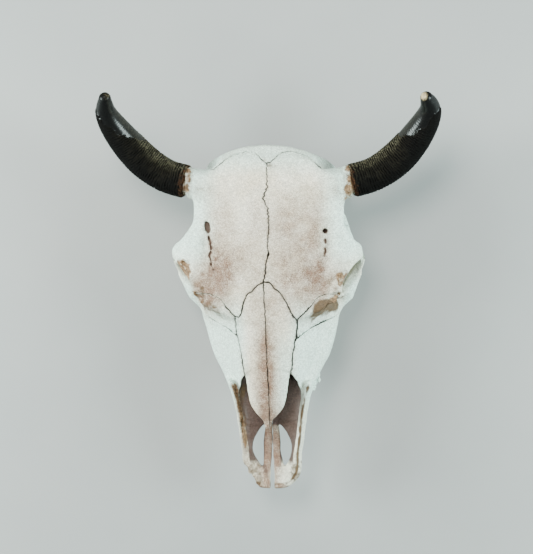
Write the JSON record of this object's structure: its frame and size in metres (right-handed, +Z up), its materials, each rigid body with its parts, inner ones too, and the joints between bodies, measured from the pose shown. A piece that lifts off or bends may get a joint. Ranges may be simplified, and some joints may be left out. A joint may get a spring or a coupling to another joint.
{
  "type": "bison skull",
  "caption": "Weathered adult cow bison skull without the lower jaw, with dark horn sheaths, lying on its cheek teeth and the back of its base.",
  "frame": {"origin": "middle of the footprint, on the floor that the skull rests on", "axes": "+Z up, nose towards -Y, the animal's left towards +X"},
  "size_m": [0.4791, 0.5764, 0.2183],
  "materials": {
    "bone": "dry weathered bone, matte",
    "horn": "dark ringed horn, satin"
  },
  "bodies": {
    "root": {"cranium": "bone", "nasal_left": "bone", "nasal_right": "bone", "lacrimal_left": "bone", "lacrimal_right": "bone", "maxilla_left": "bone", "maxilla_right": "bone", "premaxilla_left": "bone", "premaxilla_right": "bone", "zygomatic_left": "bone", "zygomatic_right": "bone", "horn_sheath_left": "horn", "horn_sheath_right": "horn"}
  },
  "joints": []
}
